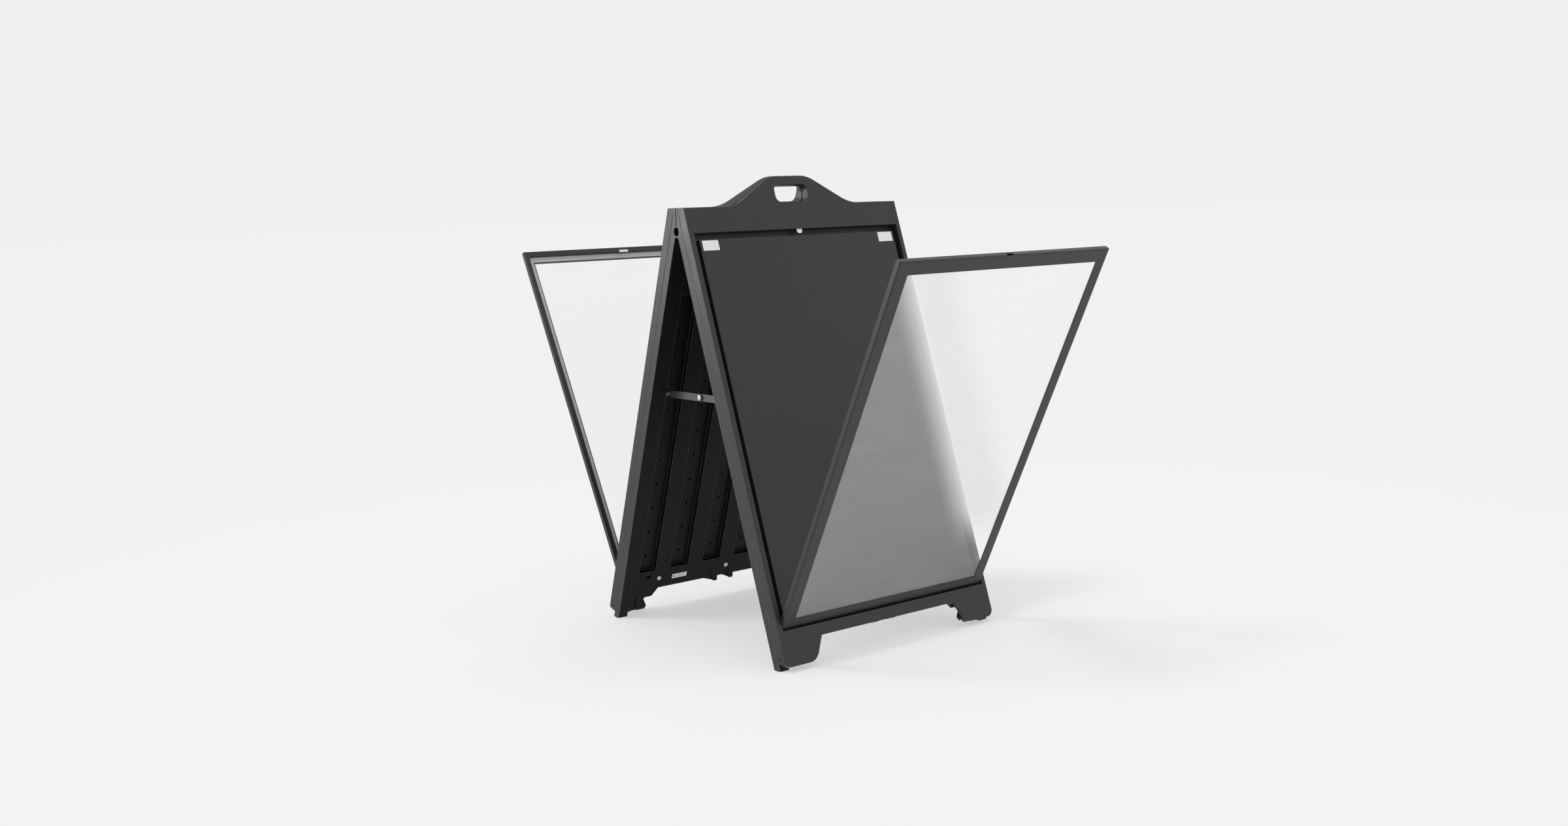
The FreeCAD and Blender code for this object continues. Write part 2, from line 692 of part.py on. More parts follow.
def board_fittings(side):
    """What is fastened to one board: hinge brackets, their screws, stay pivots, catch housing and pads."""
    place = board_place(side)
    brackets = Piece(f"{side}_hinge_brackets", place)
    screws = Piece(f"{side}_bracket_screws", place)
    for step in STEPS:
        middle = f"{step} * bracket_pitch"
        across = (f"{middle} - tab_thickness / 2", f"{middle} + tab_thickness / 2")
        along = ("-lens_axis_s - tab_half_width", "-lens_axis_s + tab_half_width")
        base = (f"{middle} - bracket_base_half", f"{middle} + bracket_base_half")
        base_top = "groove_floor + bracket_base"
        base_run = ("-lens_axis_s - bracket_base_rise", "-lens_axis_s + bracket_base_rise")
        brackets.block(base, ("groove_floor", base_top), base_run)
        brackets.block(across, (base_top, "lens_axis_n"), along)
        brackets.rod("u", ("lens_axis_n", "-lens_axis_s"), "tab_half_width", *across)
        bore = "lens_pin_radius + running_gap"
        ends = (f"{across[0]} - {OVER}", f"{across[1]} + {OVER}")
        brackets.rod("u", ("lens_axis_n", "-lens_axis_s"), bore, *ends, cut=True)
        centre = (middle, "-lens_axis_s")
        screw_tip = f"groove_floor + bracket_base + {OVER}"
        brackets.rod("n", centre, "screw_radius", f"groove_floor - {OVER}", screw_tip, cut=True)
        screws.rod("n", centre, "screw_radius", "rib_depth", screw_tip)
        head = ("rib_depth - screw_head_height", "rib_depth")
        screws.rod("n", centre, "screw_head_radius * 0.7", *head, tip="screw_head_radius")
    pivots = Piece(f"{side}_stay_pivots", place)
    centre = ("stay_inset", "-stay_drop")
    near = "(strap_plane - strap_gap / 2 - strap_thickness)"
    for sign, strap in ((-1, near), (1, "(strap_plane + strap_gap / 2)")):
        collar = f"({strap} + strap_thickness + pivot_side_gap)"
        head = f"({strap} - pivot_side_gap)"
        lengths = (
            ("pivot_radius", head, "back_recess_half + stay_boss_end"),
            ("pivot_head_radius", collar, "back_recess_half"),
            ("pivot_head_radius", f"({head} - pivot_head_height)", head),
        )
        for radius, start, end in lengths:
            low, high = sorted((f"{sign} * {start}", f"{sign} * ({end})"), key=value)
            pivots.rod("u", centre, radius, low, high)


TONGUE = ("tongue_n - tongue_thickness / 2", "tongue_n + tongue_thickness / 2")
TONGUE_ROOM = (f"{TONGUE[0]} - slide_gap", f"{TONGUE[1]} + slide_gap")


def catch(side):
    """The sprung catch in the header: a tongue that drops into the lens frame, its housing and spring."""
    place = board_place(side)
    housing = Piece(f"{side}_catch_housing", place)
    foot = "-(recess_top - skin)"
    top = f"({foot} + housing_height)"
    half = "(tongue_half_width + slide_gap)"
    depth = ("face_depth - skin - housing_depth", "face_depth - skin")
    housing.block(("-housing_half_width", "housing_half_width"), depth, (foot, top))
    housing.block((f"-{half}", half), TONGUE_ROOM, (f"{foot} - {OVER}", f"{top} - 3 * skin"), cut=True)
    bore = "spring_radius + spring_wire + slide_gap"
    bore_ends = (f"{foot} + spring_foot - {OVER}", f"{top} - skin")
    housing.rod("s", ("0", "tongue_n - slide_gap"), bore, *bore_ends, cut=True)
    tongue = Piece(f"{side}_catch_tongue", place)
    tip = "-(recess_top + tongue_reach)"
    tail = f"{foot} + spring_foot"
    shape = [
        ("-tongue_half_width", tip),
        ("tongue_half_width", tip),
        ("tongue_half_width", tail),
        ("-tongue_half_width", tail),
    ]
    tongue.prism("XZ", shape, *TONGUE, corners=dict.fromkeys((0, 1), "tongue_half_width * 0.85"))
    spring = Piece(f"{side}_catch_spring", place)
    coil(spring, tail, f"{top} - skin")


def coil(piece, start, end):
    """A compression spring about the line u = 0 at the tongue's depth."""
    sketch = piece.body.newObject("Sketcher::SketchObject", "Wire")
    origin = next(o for o in piece.body.Origin.OriginFeatures if o.Role == "XZ_Plane")
    sketch.AttachmentSupport = [(origin, "")]
    sketch.MapMode = "FlatFace"
    sketch.setExpression("AttachmentOffset.Base.z", bound("tongue_n - slide_gap"))
    sketch.setExpression("AttachmentOffset.Base.y", bound(f"{start} + spring_wire + spring_end_gap"))
    wire = Part.Circle(Vector(value("spring_radius"), 0, 0), Vector(0, 0, 1), value("spring_wire"))
    sketch.addGeometry(wire, False)
    index = sketch.addConstraint(Sketcher.Constraint("DistanceX", -1, 1, 0, 3, value("spring_radius")))
    sketch.setExpression(f"Constraints[{index}]", bound("spring_radius"))
    sketch.addConstraint(Sketcher.Constraint("PointOnObject", 0, 3, -1))
    index = sketch.addConstraint(Sketcher.Constraint("Radius", 0, value("spring_wire")))
    sketch.setExpression(f"Constraints[{index}]", bound("spring_wire"))
    helix = piece.body.newObject("PartDesign::AdditiveHelix", "Coil")
    helix.Profile = sketch
    helix.ReferenceAxis = (sketch, ["V_Axis"])
    helix.Mode = "height-turns-angle"
    helix.setExpression("Height", bound(f"({end}) - ({start}) - 2 * (spring_wire + spring_end_gap)"))
    helix.setExpression("Turns", bound("spring_turns"))
    piece.settle(helix, False)


def trim(side):
    """Two adhesive pads that hold the poster's top corners."""
    pads = Piece(f"{side}_poster_pads", board_place(side))
    outer = "(poster_half - pad_edge)"
    run = ("-(poster_top + pad_top_edge + pad_height)", "-(poster_top + pad_top_edge)")
    depth = ("poster_depth", "poster_depth + pad_thickness")
    pads.block((f"{outer} - pad_width", outer), depth, run)
    pads.block((f"-{outer}", f"-{outer} + pad_width"), depth, run)


def instruction_label():
    """A plain adhesive label on the inner face of the rear crossbar."""
    label = Piece("inside_label", board_place("rear"))
    across = ("label_place", "label_place + label_width")
    run = ("-(recess_bottom - label_rise + label_height)", "-(recess_bottom - label_rise)")
    label.block(across, ("rib_depth - label_thickness", "rib_depth"), run)


# ---------------------------------------------------------------- lens frames

def rail(label, place, half_length, notches=False, slot=False):
    """One mitred rail: a box leg along the outer edge and a thin flange over the sheet.

    It is drawn with its outer edge on z = 0 and the frame's middle towards +z.
    """
    piece = Piece(label, place)
    back = "-leg_back"
    section = [
        ("lens_front", "0"),
        ("lens_front", "rail_face"),
        ("lens_front - flange_thickness", "rail_face"),
        ("lens_front - flange_thickness", "rail_leg"),
        (back, "rail_leg"),
        (back, "0"),
    ]
    half = f"({half_length})"
    piece.prism("YZ", section, f"-{half}", half, corners={0: "rail_corner"})
    hollow = ("-leg_back + rail_wall", "lens_front - rail_wall")
    inner_run = ("rail_wall", "rail_leg - rail_wall")
    piece.block((f"-{half} - {OVER}", f"{half} + {OVER}"), hollow, inner_run, cut=True)
    for sign in ("", "-"):
        wedge = [
            (f"{sign}({half} + {OVER})", f"-{OVER}"),
            (f"{sign}({half} + {OVER})", f"rail_face + {OVER}"),
            (f"{sign}({half} - rail_face - {OVER})", f"rail_face + {OVER}"),
        ]
        piece.prism("XZ", wedge, f"{back} - {OVER}", f"lens_front + {OVER}", cut=True)
    if notches:
        depth = (f"{back} - {OVER}", "lens_front - rail_wall")
        reach = "(tab_thickness / 2 + tab_gap)"
        for step in STEPS:
            across = (f"{step} * bracket_pitch - {reach}", f"{step} * bracket_pitch + {reach}")
            piece.block(across, depth, (f"-{OVER}", "rail_leg + fit_gap"), cut=True)
    if slot:
        wide = "(tongue_half_width + tab_gap)"
        middle = "(tongue_n - lens_axis_n)"
        reach = "(tongue_thickness / 2 + tab_gap)"
        depth = (f"{middle} - {reach}", f"{middle} + {reach}")
        piece.block((f"-{wide}", wide), depth, (f"-{OVER}", "rail_wall + fit_gap"), cut=True)


def lens_frame(side):
    """The swing-open frame of one board."""
    place = lens_place(side)
    low = -value("lens_low")
    high = low + value("lens_height")
    half = value("lens_half")
    across = Vector(0, 1, 0)
    middle = (low + high) / 2
    top_place = place * moved(0, 0, high) * turned(across, 180)
    left_place = place * moved(-half, 0, middle) * turned(across, 90)
    right_place = place * moved(half, 0, middle) * turned(across, -90)
    rail(f"{side}_lens_bottom_rail", place * moved(0, 0, low), "lens_half", notches=True)
    rail(f"{side}_lens_top_rail", top_place, "lens_half", slot=True)
    rail(f"{side}_lens_left_rail", left_place, "lens_height / 2")
    rail(f"{side}_lens_right_rail", right_place, "lens_height / 2")
    edge = "(lens_half - rail_leg - fit_gap)"
    foot = "(-lens_low + rail_leg + fit_gap)"
    head = "(lens_height - lens_low - rail_leg - fit_gap)"
    sheet_piece = Piece(f"{side}_lens_sheet", place)
    sheet_piece.block((f"-{edge}", edge), ("sheet_back", "sheet_front"), (foot, head))
    strip = Piece(f"{side}_glazing_strip", place)
    strip_depth = ("sheet_back - strip_thickness", "sheet_back")
    strip.block((f"-{edge}", edge), strip_depth, (foot, head))
    window = f"({edge} - strip_width)"
    window_depth = (f"sheet_back - strip_thickness - {OVER}", f"sheet_back + {OVER}")
    window_run = (f"{foot} + strip_width", f"{head} - strip_width")
    strip.block((f"-{window}", window), window_depth, window_run, cut=True)
    corner_keys(side, place)
    strike = Piece(f"{side}_strike_plate", place)
    plate_top = "(lens_height - lens_low - rail_leg + strike_lap)"
    plate_depth = ("-leg_back - strike_thickness", "-leg_back")
    plate_run = (f"{plate_top} - strike_height", plate_top)
    strike.block(("-strike_half_width", "strike_half_width"), plate_depth, plate_run)
    lens_hinges(side, place)


def corner_keys(side, place):
    """Angle pieces inside the rails' legs that hold the mitres together."""
    keys = Piece(f"{side}_corner_keys", place)
    depth = ("-leg_back + rail_wall + fit_gap / 2", "lens_front - rail_wall - fit_gap / 2")
    inner = "(rail_leg - rail_wall - fit_gap / 2)"
    outer = "(rail_wall + fit_gap / 2)"
    foot = "-lens_low"
    head = "(lens_height - lens_low)"
    for sign in (-1, 1):
        for end, inward in ((foot, 1), (head, -1)):
            lying = [f"{sign} * (lens_half - key_arm)", f"{sign} * (lens_half - {outer})"]
            upright = [f"{sign} * (lens_half - {inner})", f"{sign} * (lens_half - {outer})"]
            lying_run = [f"{end} + {inward} * {outer}", f"{end} + {inward} * {inner}"]
            upright_run = [f"{end} + {inward} * {inner}", f"{end} + {inward} * key_arm"]
            keys.block(tuple(sorted(lying, key=value)), depth, tuple(sorted(lying_run, key=value)))
            keys.block(tuple(sorted(upright, key=value)), depth, tuple(sorted(upright_run, key=value)))


def lens_hinges(side, place):
    """Bushes inside the bottom rail on both sides of each bracket, and the pins through them."""
    bushes = Piece(f"{side}_hinge_bushes", place)
    pins = Piece(f"{side}_hinge_pins", place)
    depth = ("-leg_back + rail_wall", "lens_front - rail_wall")
    run = ("-lens_low + rail_wall", "-lens_low + rail_leg - rail_wall")
    near = "(tab_thickness / 2 + tab_gap)"
    for step in STEPS:
        middle = f"{step} * bracket_pitch"
        for sign in SIGNS:
            ends = (f"{middle} + {sign} * {near}", f"{middle} + {sign} * lens_pin_half")
            ends = tuple(sorted(ends, key=value))
            bushes.block(ends, depth, run)
            bushes.rod("u", ("0", "0"), "lens_pin_radius", *ends, cut=True)
        pin_ends = (f"{middle} - lens_pin_half", f"{middle} + lens_pin_half")
        pins.rod("u", ("0", "0"), "lens_pin_radius", *pin_ends)


# ---------------------------------------------------------------- hinge pins and stays

def main_hinge_pin(label, side):
    """A headed pin through one board's outer knuckle and the other board's inner one."""
    pin = Piece(label, board_place(side))
    seat = "-half_width + pin_recess_depth"
    start = f"{seat} - pin_head_height"
    end = "-half_width + 2 * knuckle_length + knuckle_gap + pin_end_play"
    pin.rod("u", ("0", "0"), "pin_radius", start, end)
    pin.rod("u", ("0", "0"), "pin_head_radius", start, seat)


def stay(turn, near_name, far_name):
    """One stay, level while the sign is open: two straps that meet at a rivet split between them.

    It is drawn at the left side; the right one is the same stay turned half round.
    """
    ends = {near_name: "-1 *", far_name: "1 *"}
    planes = {
        near_name: "(-strap_plane + strap_gap / 2)",
        far_name: "(-strap_plane - strap_gap / 2 - strap_thickness)",
    }
    for name, sign in ends.items():
        strap = Piece(f"{name}_link", turn)
        low = planes[name]
        high = f"({low} + strap_thickness)"
        far_y = f"({sign} stay_y)"
        depth = tuple(sorted((f"-{far_y}", "0"), key=value))
        strap.block((low, high), depth, ("stay_z - strap_half_width", "stay_z + strap_half_width"))
        strap.rod("u", (f"-{far_y}", "stay_z"), "strap_half_width", low, high)
        strap.rod("u", ("0", "stay_z"), "strap_half_width", low, high)
        through = (f"{low} - {OVER}", f"{high} + {OVER}")
        strap.rod("u", (f"-{far_y}", "stay_z"), "pivot_radius + running_gap", *through, cut=True)
        strap.rod("u", ("0", "stay_z"), "pivot_radius", *through, cut=True)
        rivet = Piece(f"{name}_rivet", turn)
        rivet.rod("u", ("0", "stay_z"), "pivot_radius", low, high)
        if name == near_name:
            rivet.rod("u", ("0", "stay_z"), "pivot_head_radius", high, f"({high} + rivet_head_height)")
        else:
            rivet.rod("u", ("0", "stay_z"), "pivot_head_radius", f"({low} - rivet_head_height)", low)


def build():
    for side in SIDES:
        face_shell(side)
        back_shell(side)
        board_fittings(side)
        catch(side)
        trim(side)
        lens_frame(side)
    instruction_label()
    main_hinge_pin("left_hinge_pin", "front")
    main_hinge_pin("right_hinge_pin", "rear")
    stay(FreeCAD.Placement(), "left_front", "left_rear")
    stay(HALF_TURN, "right_rear", "right_front")


def save():
    """Checks the whole document, then writes each sub-part's shape."""
    for piece in PIECES:
        piece.body.Placement = piece.placement
    doc.recompute()
    for item in doc.Objects:
        if "Invalid" in item.State or "Error" in item.State:
            raise RuntimeError(f"{item.Label} failed: {item.State}")
    for piece in PIECES:
        shape = piece.body.Shape
        if shape.isNull() or not shape.isValid() or not shape.Solids:
            raise RuntimeError(f"{piece.body.Label} has no valid shape")
    os.makedirs("parts", exist_ok=True)
    for piece in PIECES:
        piece.body.Shape.exportStep(f"parts/{piece.body.Label}.step")


build()
save()
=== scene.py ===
"""Looks of a folding pavement sign: two moulded boards, each with a clear lens frame that swings open.

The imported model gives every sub-part its shape and place. This script gives each one its finish, adds the
fine pieces that a maker adds last, and sets the sign on a pale studio floor. Lengths are metres.
"""

import json
import logging
import math
from dataclasses import dataclass, field
from enum import Enum

import bpy
import numpy as np
from mathutils import Matrix, Vector

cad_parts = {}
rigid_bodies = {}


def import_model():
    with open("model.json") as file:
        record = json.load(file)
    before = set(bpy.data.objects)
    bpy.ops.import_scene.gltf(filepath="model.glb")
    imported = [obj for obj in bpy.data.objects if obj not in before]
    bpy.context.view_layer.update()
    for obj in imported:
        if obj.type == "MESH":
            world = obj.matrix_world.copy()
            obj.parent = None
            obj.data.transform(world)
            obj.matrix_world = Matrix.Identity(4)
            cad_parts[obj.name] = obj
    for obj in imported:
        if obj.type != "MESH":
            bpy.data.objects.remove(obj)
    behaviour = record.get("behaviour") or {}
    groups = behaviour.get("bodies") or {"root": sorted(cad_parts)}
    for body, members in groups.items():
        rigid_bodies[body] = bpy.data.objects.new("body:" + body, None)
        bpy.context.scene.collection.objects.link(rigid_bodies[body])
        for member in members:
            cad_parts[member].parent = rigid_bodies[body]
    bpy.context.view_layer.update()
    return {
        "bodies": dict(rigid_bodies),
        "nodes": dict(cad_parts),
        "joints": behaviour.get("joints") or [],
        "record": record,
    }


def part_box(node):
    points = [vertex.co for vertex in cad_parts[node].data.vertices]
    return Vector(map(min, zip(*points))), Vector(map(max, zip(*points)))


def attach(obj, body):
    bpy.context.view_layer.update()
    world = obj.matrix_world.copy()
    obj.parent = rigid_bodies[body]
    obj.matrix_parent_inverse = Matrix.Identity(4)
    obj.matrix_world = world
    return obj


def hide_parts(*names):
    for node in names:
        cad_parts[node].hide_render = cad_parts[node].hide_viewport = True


LOG = logging.getLogger("pavement_sign")
MILLIMETRE = 0.001


class Slot(Enum):
    """The record's material slots."""

    BOARD = "board_plastic"
    BLACK = "black_plastic"
    PIN = "pin_black"
    RAIL = "rail_black"
    SHEET = "clear_sheet"
    STRIP = "strip_grey"
    PAD = "pad_white"
    LABEL = "label_paper"
    ZINC = "zinc_steel"
    BRIGHT = "bright_steel"
    SPRING = "spring_steel"
    STRAP = "galvanised_strap"


class Side(Enum):
    """The two boards, with the direction in which each one's face looks."""

    FRONT = -1
    REAR = 1


# ---------------------------------------------------------------- shader trees


class ShaderTree:
    """A material's node tree, put together one node at a time."""

    def __init__(self, name: str) -> None:
        """Starts an empty tree.

        Args:
            name: The material's name.
        """
        self.material = bpy.data.materials.new(name)
        self.material.use_nodes = True
        self.tree = self.material.node_tree
        self.tree.nodes.clear()
        self.place = self.add("TexCoord").outputs["Object"]

    def add(self, kind: str, settings: dict | None = None, **sockets: object) -> bpy.types.Node:
        """Adds a node and fills its sockets.

        Args:
            kind: The node's type, without its ShaderNode prefix.
            settings: Properties of the node itself.
            sockets: Inputs by name, with _ for a space. An output is linked, and the rest are plain values.

        Returns:
            The new node.
        """
        node = self.tree.nodes.new(f"ShaderNode{kind}")
        for key, setting in (settings or {}).items():
            setattr(node, key, setting)
        for key, given in sockets.items():
            self.fill(node.inputs[key.replace("_", " ")], given)
        return node

    def fill(self, socket: bpy.types.NodeSocket, given: object) -> None:
        """Links an output to the socket, or sets a plain value on it."""
        if isinstance(given, bpy.types.NodeSocket):
            self.tree.links.new(given, socket)
        else:
            socket.default_value = given

    def math(self, operation: str, *terms: object, clamp: bool = False) -> bpy.types.NodeSocket:
        """A sum, product or other operation on up to three terms.

        Args:
            operation: One of the Math node's operations.
            terms: Numbers or outputs.
            clamp: Keeps the result between 0 and 1.

        Returns:
            The output that holds the result.
        """
        node = self.add("Math", {"operation": operation, "use_clamp": clamp})
        for socket, term in zip(node.inputs, terms):
            self.fill(socket, term)
        return node.outputs[0]

    def axes(self) -> tuple[bpy.types.NodeSocket, ...]:
        """The piece's own x, y and z."""
        return tuple(self.add("SeparateXYZ", Vector=self.place).outputs)

    def noise(self, size: float, detail: float = 2.0,
              stretch: tuple[float, ...] = (1, 1, 1)) -> bpy.types.NodeSocket:
        """Cloudy noise.

        Args:
            size: Its largest lumps, in metres.
            detail: How many finer layers lie over them.
            stretch: How much longer the lumps are along each axis.

        Returns:
            The noise, about 0 to 1.
        """
        scale = tuple(1 / (size * s) for s in stretch)
        spot = self.add("Mapping", Vector=self.place, Scale=scale).outputs[0]
        return self.add("TexNoise", Vector=spot, Scale=1.0, Detail=detail, Roughness=0.55).outputs[0]

    def cells(self, size: float, output: str = "Distance") -> bpy.types.NodeSocket:
        """Random cells of the given size in metres: the distance in each, or its colour."""
        node = self.add("TexVoronoi", Vector=self.place, Scale=1 / size)
        return node.outputs[output]

    def spread(self, given: bpy.types.NodeSocket, low: float, high: float, to: tuple[float, float] = (0, 1),
               smooth: bool = False) -> bpy.types.NodeSocket:
        """Carries a value from one range to another, and stops at the ends.

        Args:
            given: The value.
            low: Where the first end of the new range starts.
            high: Where its second end is reached.
            to: The new range.
            smooth: Eases in and out of both ends.

        Returns:
            The carried value.
        """
        kind = "SMOOTHSTEP" if smooth else "LINEAR"
        node = self.add("MapRange", {"interpolation_type": kind}, Value=given)
        for name, number in zip(("From Min", "From Max", "To Min", "To Max"), (low, high, *to)):
            node.inputs[name].default_value = number
        return node.outputs[0]

    def blend(self, share: bpy.types.NodeSocket, first: object, second: object) -> bpy.types.NodeSocket:
        """Mixes two colours, of which the second shows where share is 1."""
        node = self.add("Mix", {"data_type": "RGBA"})
        for name, given in (("Factor_Float", share), ("A_Color", first), ("B_Color", second)):
            self.fill(next(s for s in node.inputs if s.identifier == name), given)
        return next(s for s in node.outputs if s.identifier == "Result_Color")

    def edges(self, radius: float) -> tuple[bpy.types.NodeSocket, bpy.types.NodeSocket]:
        """Softens sharp edges.

        Args:
            radius: How far from an edge its rounding reaches.

        Returns:
            The softened normal, and how near the surface is to an edge, from 0 to 1.
        """
        soft = self.add("Bevel", {"samples": 6}, Radius=radius).outputs[0]
        flat = self.add("NewGeometry").outputs["Normal"]
        turn = self.add("VectorMath", {"operation": "DOT_PRODUCT"}, Vector=soft)
        self.fill(turn.inputs[1], flat)
        return soft, self.spread(turn.outputs["Value"], 0.995, 0.86)

    def bump(self, height: bpy.types.NodeSocket, depth: float, under: bpy.types.NodeSocket | None = None,
             strength: float = 1.0) -> bpy.types.NodeSocket:
        """Raises the surface by a height map.

        Args:
            height: The map, about 0 to 1.
            depth: What its full range stands for, in metres.
            under: The normal that it is laid over.
            strength: How much of it shows.

        Returns:
            The new normal.
        """
        node = self.add("Bump", Height=height, Distance=depth, Strength=strength)
        if under is not None:
            self.fill(node.inputs["Normal"], under)
        return node.outputs[0]

    def finish(self, **sockets: object) -> bpy.types.Material:
        """Ends the tree in a Principled shader with these inputs, and returns the material."""
        shader = self.add("BsdfPrincipled", None, **sockets)
        self.add("OutputMaterial", Surface=shader.outputs[0])
        return self.material


# ---------------------------------------------------------------- finishes


def grey(level: float, tint: tuple[float, float, float] = (1, 1, 1)) -> tuple[float, float, float, float]:
    """A colour of this brightness, tinted a little."""
    return (level * tint[0], level * tint[1], level * tint[2], 1.0)


@dataclass(frozen=True)
class MouldedPlastic:
    """Blow-moulded or injected plastic: fine grain, cloudy gloss, and edges made a little paler, partly as
    wear and partly as a painted highlight.

    With an inner share below 1, the surface further in than side_plane is that much darker and less glossy:
    painted shade inside the sign.
    """

    name: str
    level: float
    edge_wear_and_highlight_level: float
    roughness: float = 0.42
    grain: float = 0.0009
    grain_depth: float = 0.00005
    edge: float = 0.0016
    tint: tuple[float, float, float] = (1.0, 1.0, 0.99)
    inner: float = 1.0
    side_plane: float = 0.3225
    shine: float = 0.5

    def material(self) -> bpy.types.Material:
        """Builds the material."""
        tree = ShaderTree(self.name)
        cloud = tree.noise(0.11, 4.0)
        speck = tree.noise(self.grain, 3.0)
        soft, edge = tree.edges(self.edge)
        # Edges paler in patches: partly wear, partly a painted edge highlight.
        edge_wear_and_highlight_mask = tree.math("MULTIPLY", edge, tree.spread(tree.noise(0.018, 5.0), 0.3, 0.62, (0.25, 1.0)))
        plain = tree.blend(cloud, grey(self.level * 0.86, self.tint), grey(self.level * 1.14, self.tint))
        colour = tree.blend(edge_wear_and_highlight_mask, plain, grey(self.edge_wear_and_highlight_level, self.tint))
        shine = self.shine
        if self.inner < 1.0:
            # Painted shade: inside the sign the plastic is painted darker and less glossy.
            across = tree.math("ABSOLUTE", tree.axes()[0])
            out = tree.spread(across, self.side_plane, self.side_plane + MILLIMETRE, (self.inner, 1.0))
            inner_edge_wear_and_highlight = grey(self.edge_wear_and_highlight_level * 0.6, self.tint)
            painted_inner_shade = tree.blend(edge_wear_and_highlight_mask, grey(self.level * self.inner, self.tint), inner_edge_wear_and_highlight)
            colour = tree.blend(tree.spread(out, self.inner, 1.0), painted_inner_shade, colour)
            shine = tree.math("MULTIPLY", out, self.shine)
        streak = tree.spread(tree.noise(0.02, 3.0, (1, 1, 9)), 0.35, 0.7, (-0.03, 0.03))
        even = tree.spread(cloud, 0.3, 0.7, (self.roughness - 0.04, self.roughness + 0.05))
        gloss = tree.math("ADD", even, streak)
        swell = tree.bump(tree.noise(0.035, 1.0), 0.0004, soft, 0.35)
        normal = tree.bump(speck, self.grain_depth, swell)
        return tree.finish(Base_Color=colour, Roughness=gloss, Normal=normal, Specular_IOR_Level=shine)


@dataclass(frozen=True)
class PowderCoat:
    """Satin black powder coat on an aluminium section, with a slight orange peel."""

    name: str
    level: float
    roughness: float = 0.38
    peel: float = 0.0014

    def material(self) -> bpy.types.Material:
        """Builds the material."""
        tree = ShaderTree(self.name)
        soft, edge = tree.edges(0.0006)
        cloud = tree.noise(0.06, 3.0)
        plain = tree.blend(cloud, grey(self.level * 0.9), grey(self.level * 1.1))
        # Painted highlight: every edge is painted paler.
        colour = tree.blend(edge, plain, grey(self.level * 1.6))
        gloss = tree.spread(cloud, 0.3, 0.7, (self.roughness - 0.04, self.roughness + 0.05))
        peel = tree.bump(tree.noise(self.peel, 2.0), 0.00004, soft)
        return tree.finish(Base_Color=colour, Roughness=gloss, Normal=peel)


@dataclass(frozen=True)
class ClearLens:
    """Non-glare clear plastic: a haze, faint wiping marks and one soft diagonal gleam, which is a painted
    highlight.

    The gleam lies on the front sheet, towards its upper right edge. It grows with the square of
    g = across / width + up / height from gleam_start on, where across is measured from the left edge as the
    face is seen, fades again past gleam_end, and dies away towards the bottom corner.
    """

    name: str
    haze: float = 0.132
    gleam: float = 0.68
    gleam_start: float = 0.90
    gleam_end: float = 1.07
    tint: tuple[float, float, float] = (0.985, 1.0, 0.995)

    def material(self) -> bpy.types.Material:
        """Builds the material."""
        tree = ShaderTree(self.name)
        low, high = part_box("front_lens_sheet")
        x, y, z = tree.axes()
        share = tree.spread(x, low.x, high.x)
        rise = tree.spread(z, low.z, high.z)
        diagonal = tree.math("ADD", share, rise)
        climb = tree.math("POWER", tree.spread(diagonal, self.gleam_start, self.gleam_end), 2.0)
        fade = tree.spread(diagonal, self.gleam_end + 0.05, self.gleam_end + 0.3, (1, 0), smooth=True)
        foot = tree.spread(rise, 0.12, 0.3, smooth=True)
        front = tree.math("LESS_THAN", y, 0.0)
        # Painted highlight: the gleam is laid on the front sheet only and does not move with the view.
        painted_gleam = tree.math("MULTIPLY", tree.math("MULTIPLY", climb, fade), tree.math("MULTIPLY", foot, front))
        wipe = tree.spread(tree.noise(0.03, 4.0, (5, 1, 1)), 0.35, 0.75, (0.95, 1.05))
        # Painted shade: the rear sheet gets only 0.35 of the front sheet's haze. The haze also grows towards
        # the top.
        upwards = tree.spread(rise, 0, 1, (0.95, 1.25))
        rear_sheet_painted_shade = tree.spread(front, 0, 1, (0.35, 1.0))
        seen = tree.math("MULTIPLY", upwards, rear_sheet_painted_shade)
        haze = tree.math("MULTIPLY", tree.math("MULTIPLY", wipe, self.haze), seen)
        alpha = tree.math("ADD", haze, tree.math("MULTIPLY", painted_gleam, self.gleam), clamp=True)
        gloss = tree.spread(tree.noise(0.02, 3.0), 0.3, 0.7, (0.4, 0.5))
        shade = tree.blend(tree.noise(0.25, 1.0), grey(0.95, self.tint), grey(0.99, self.tint))
        return tree.finish(Base_Color=shade, Roughness=gloss, Alpha=alpha, Specular_IOR_Level=0.3)


@dataclass(frozen=True)
class PlatedSteel:
    """Plated or galvanised steel: drawn lines along x, and crystals of zinc where they are wanted."""

    name: str
    level: float
    roughness: float = 0.32
    spangle: float = 0.0
    tint: tuple[float, float, float] = (0.96, 1.0, 1.03)

    def material(self) -> bpy.types.Material:
        """Builds the material."""
        tree = ShaderTree(self.name)
        soft, edge = tree.edges(0.0005)
        lines = tree.noise(0.0006, 2.0, (1, 40, 1))
        crystals = tree.cells(0.004, output="Color")
        speckle = tree.math("MULTIPLY", tree.spread(crystals, 0.2, 0.8, (-1, 1)), self.spangle)
        shade = tree.math("ADD", tree.spread(lines, 0.3, 0.7, (0.42, 0.58)), speckle, clamp=True)
        dull = tree.blend(shade, grey(self.level * 0.75, self.tint), grey(self.level * 1.2, self.tint))
        stained = tree.math("MULTIPLY", tree.spread(tree.noise(0.012, 5.0), 0.55, 0.75), 0.5)
        plain = tree.blend(stained, dull, grey(self.level * 0.55, (1.0, 0.96, 0.9)))
        # Painted highlight: every edge is painted paler.
        colour = tree.blend(edge, plain, grey(min(1.0, self.level * 1.35), self.tint))
        gloss = tree.spread(shade, 0.0, 1.0, (self.roughness + 0.1, self.roughness - 0.06))
        normal = tree.bump(lines, 0.00002, soft)
        return tree.finish(Base_Color=colour, Roughness=gloss, Normal=normal, Metallic=1.0)


